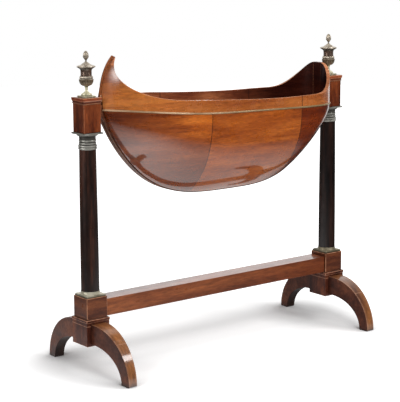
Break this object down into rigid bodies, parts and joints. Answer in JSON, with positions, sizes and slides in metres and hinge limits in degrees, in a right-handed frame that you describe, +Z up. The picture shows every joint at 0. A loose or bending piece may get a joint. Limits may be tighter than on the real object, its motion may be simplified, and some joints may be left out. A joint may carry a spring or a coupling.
{
  "type": "swinging cradle on stand",
  "caption": "Boat-shaped polished wood cradle with a horn-like prow, hung on two pivots between turned columns with urn finials on a trestle stand.",
  "frame": {"origin": "on the floor, midway between the two posts and midway between the front and back feet", "axes": "+X along the cradle towards the stern, the horn-like prow is at -X; -Y is the front; +Z up"},
  "size_m": [1.2474, 0.522, 1.16],
  "materials": {
    "hull_mahogany": "French-polished figured mahogany veneer, high gloss",
    "rim_mahogany": "French-polished warm mahogany, high gloss",
    "band_mahogany": "dark polished mahogany with light string lines",
    "stand_mahogany": "polished red-brown mahogany with light string lines",
    "ebonised_wood": "turned and ebonised, satin polish",
    "patinated_brass": "cast brass with a dull greenish silver patina",
    "gilt_bronze": "chased bronze with worn gilding",
    "bead_brass": "drawn half-round brass, aged",
    "bearing_brass": "turned brass, oiled",
    "pivot_steel": "turned steel, oiled and dark"
  },
  "bodies": {
    "stand": {"hub_left": "stand_mahogany", "front_leg_left": "stand_mahogany", "back_leg_left": "stand_mahogany", "plinth_left": "stand_mahogany", "column_base_left": "patinated_brass", "column_left": "ebonised_wood", "capital_left": "patinated_brass", "pivot_block_left": "stand_mahogany", "pivot_bush_left": "bearing_brass", "block_cap_left": "stand_mahogany", "urn_foot_left": "gilt_bronze", "urn_body_left": "gilt_bronze", "urn_lid_left": "gilt_bronze", "hub_right": "stand_mahogany", "front_leg_right": "stand_mahogany", "back_leg_right": "stand_mahogany", "plinth_right": "stand_mahogany", "column_base_right": "patinated_brass", "column_right": "ebonised_wood", "capital_right": "patinated_brass", "pivot_block_right": "stand_mahogany", "pivot_bush_right": "bearing_brass", "block_cap_right": "stand_mahogany", "urn_foot_right": "gilt_bronze", "urn_body_right": "gilt_bronze", "urn_lid_right": "gilt_bronze", "stretcher": "stand_mahogany"},
    "cradle": {"bow_panel_front": "hull_mahogany", "bow_panel_back": "hull_mahogany", "waist_panel_front": "hull_mahogany", "waist_panel_back": "hull_mahogany", "stern_panel_front": "hull_mahogany", "stern_panel_back": "hull_mahogany", "gunwale_front": "rim_mahogany", "gunwale_back": "rim_mahogany", "stern_gunwale_front": "rim_mahogany", "stern_gunwale_back": "rim_mahogany", "bead_front": "bead_brass", "bead_back": "bead_brass", "keel_band": "band_mahogany", "pivot_pin_left": "pivot_steel", "pivot_pin_right": "pivot_steel"}
  },
  "joints": [
    {"name": "cradle_swing", "type": "hinge", "parent": "stand", "child": "cradle", "pos_m": [0, 0, 0.945], "axis": [1, 0, 0], "range_deg": [-25, 25]}
  ]
}
